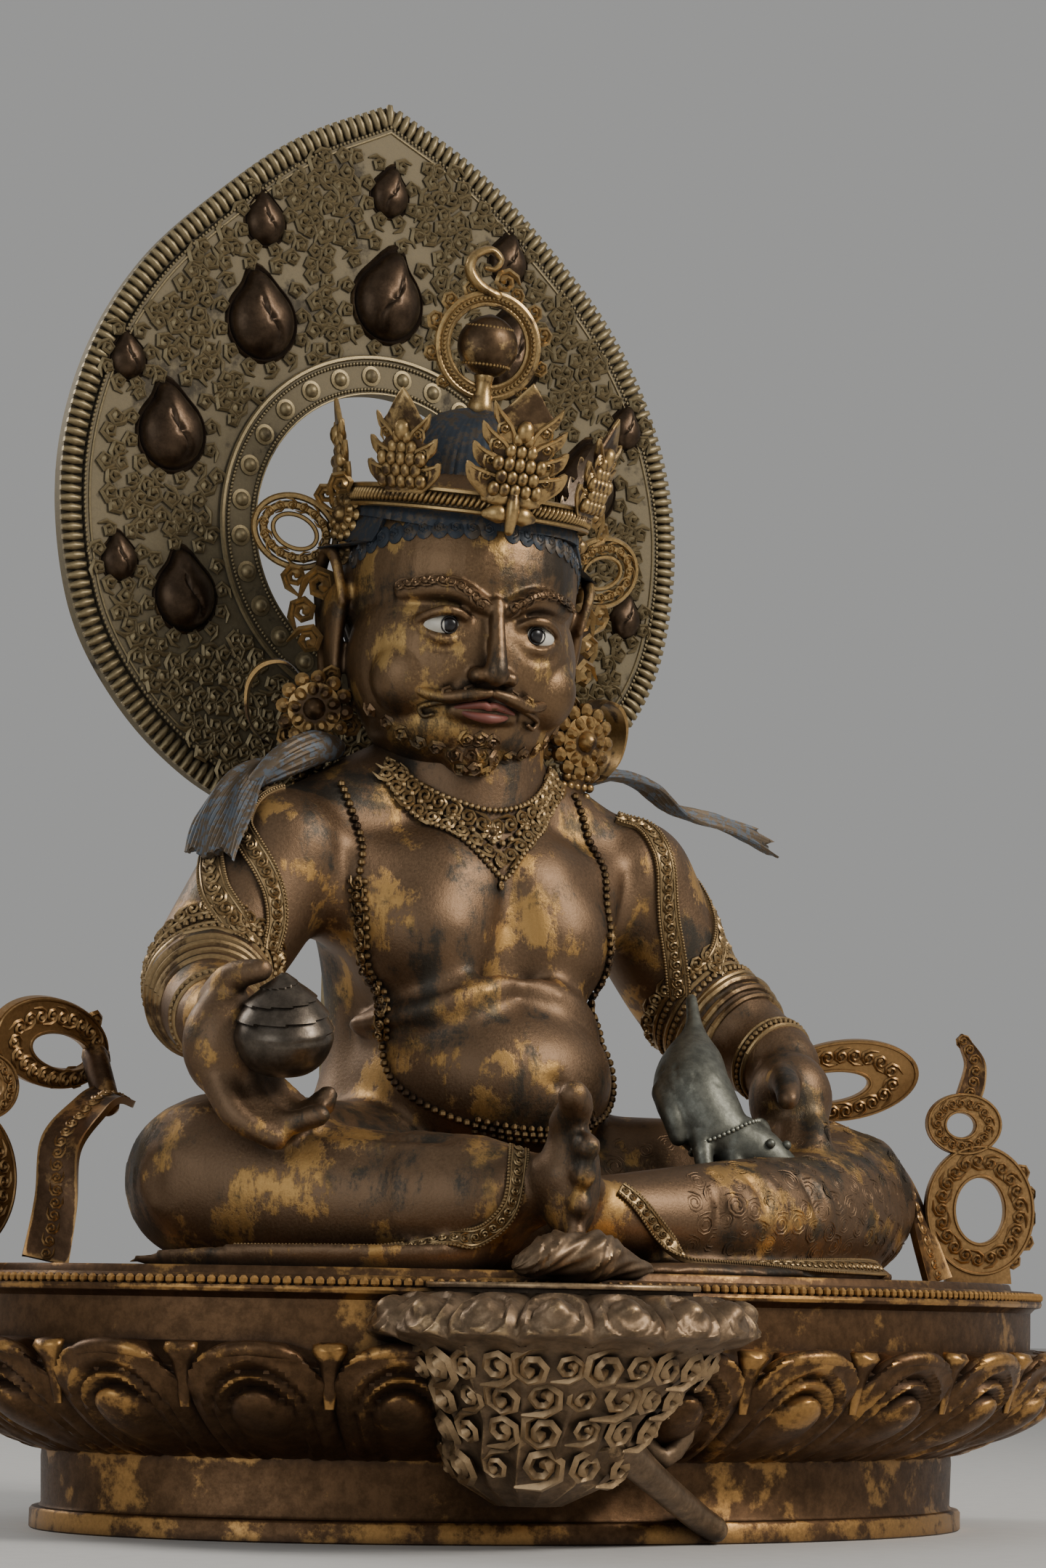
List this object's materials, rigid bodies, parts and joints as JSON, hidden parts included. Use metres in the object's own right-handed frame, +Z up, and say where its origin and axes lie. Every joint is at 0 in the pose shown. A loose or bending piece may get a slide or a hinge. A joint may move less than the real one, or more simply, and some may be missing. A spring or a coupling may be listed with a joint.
{
  "type": "gilded bronze god of wealth statue",
  "caption": "Seated god of wealth in gilded bronze on an oval lotus base, with a pointed openwork nimbus, crown, jewel, mongoose and standing scarves.",
  "frame": {"origin": "middle of the base's underside, on the surface it stands on", "axes": "+Z up; the figure faces -Y and its right side is at -X"},
  "size_m": [0.8392, 0.6958, 1.047],
  "materials": {
    "gilt_bronze": "mottled gilding worn through to brown bronze",
    "worn_gilding": "worn gilding, dark in the recesses",
    "dusty_gilding": "pale dusty gilding",
    "dark_bronze": "dark polished bronze",
    "green_bronze": "grey-green patina",
    "painted_hair": "matt blue-black paint on cast metal"
  },
  "bodies": {
    "root": {"lotus_base": "gilt_bronze", "footrest_lotus": "gilt_bronze", "conch_shell": "gilt_bronze", "figure": "gilt_bronze", "crown": "worn_gilding", "finial": "worn_gilding", "ear_ornament_right": "worn_gilding", "ear_ornament_left": "worn_gilding", "shoulder_lock_right": "painted_hair", "shoulder_lock_left": "painted_hair", "scarf_right": "worn_gilding", "scarf_left": "worn_gilding", "wish_jewel": "dark_bronze", "mongoose": "green_bronze", "halo": "dusty_gilding"}
  },
  "joints": []
}
